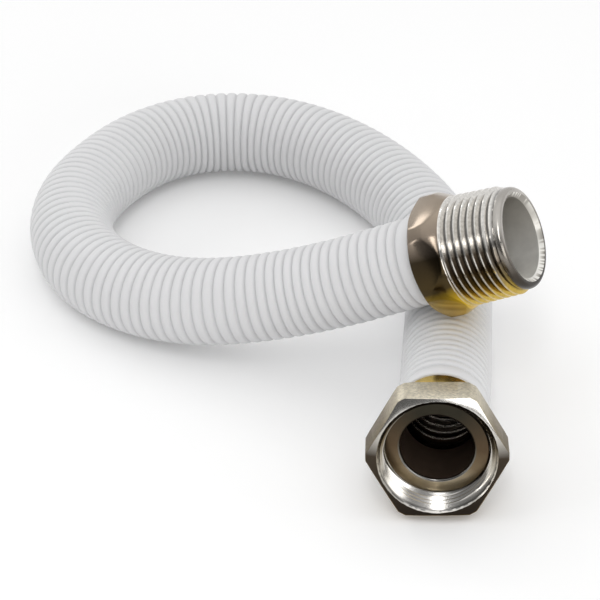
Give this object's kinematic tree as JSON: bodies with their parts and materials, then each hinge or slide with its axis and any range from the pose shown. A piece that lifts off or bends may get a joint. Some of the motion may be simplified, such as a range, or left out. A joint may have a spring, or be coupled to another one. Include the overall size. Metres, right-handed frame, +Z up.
{
  "type": "flexible metal hose",
  "caption": "Short corrugated steel water hose in a ribbed pale plastic sleeve, bent in a loop, with a hexagon swivel nut on one end and a threaded nipple on the other.",
  "frame": {"origin": "on the surface the hose lies on, under the middle of its box", "axes": "+Z up, +Y from the nut towards the far side of the loop, +X towards the side that the nipple points to"},
  "size_m": [0.1269, 0.1716, 0.0549],
  "materials": {
    "sleeve_plastic": "satin moulded, pale grey",
    "tube_steel": "formed thin wall, bright",
    "nut_steel": "fine blasted flats, machined front",
    "tail_steel": "machined, warm tint",
    "ferrule_steel": "polished, straw tint",
    "nipple_steel": "machined and polished, warm tint"
  },
  "bodies": {
    "hose": {"sleeve": "sleeve_plastic", "corrugated_tube": "tube_steel", "tail_piece": "tail_steel", "ferrule_ring": "ferrule_steel", "threaded_nipple": "nipple_steel"},
    "nut": {"union_nut": "nut_steel"}
  },
  "joints": [
    {"name": "nut_swivel", "type": "hinge", "parent": "hose", "child": "nut", "pos_m": [0.0363, -0.0828, 0.0161], "axis": [-0.0342, -0.9793, 0.1994], "continuous": true}
  ]
}
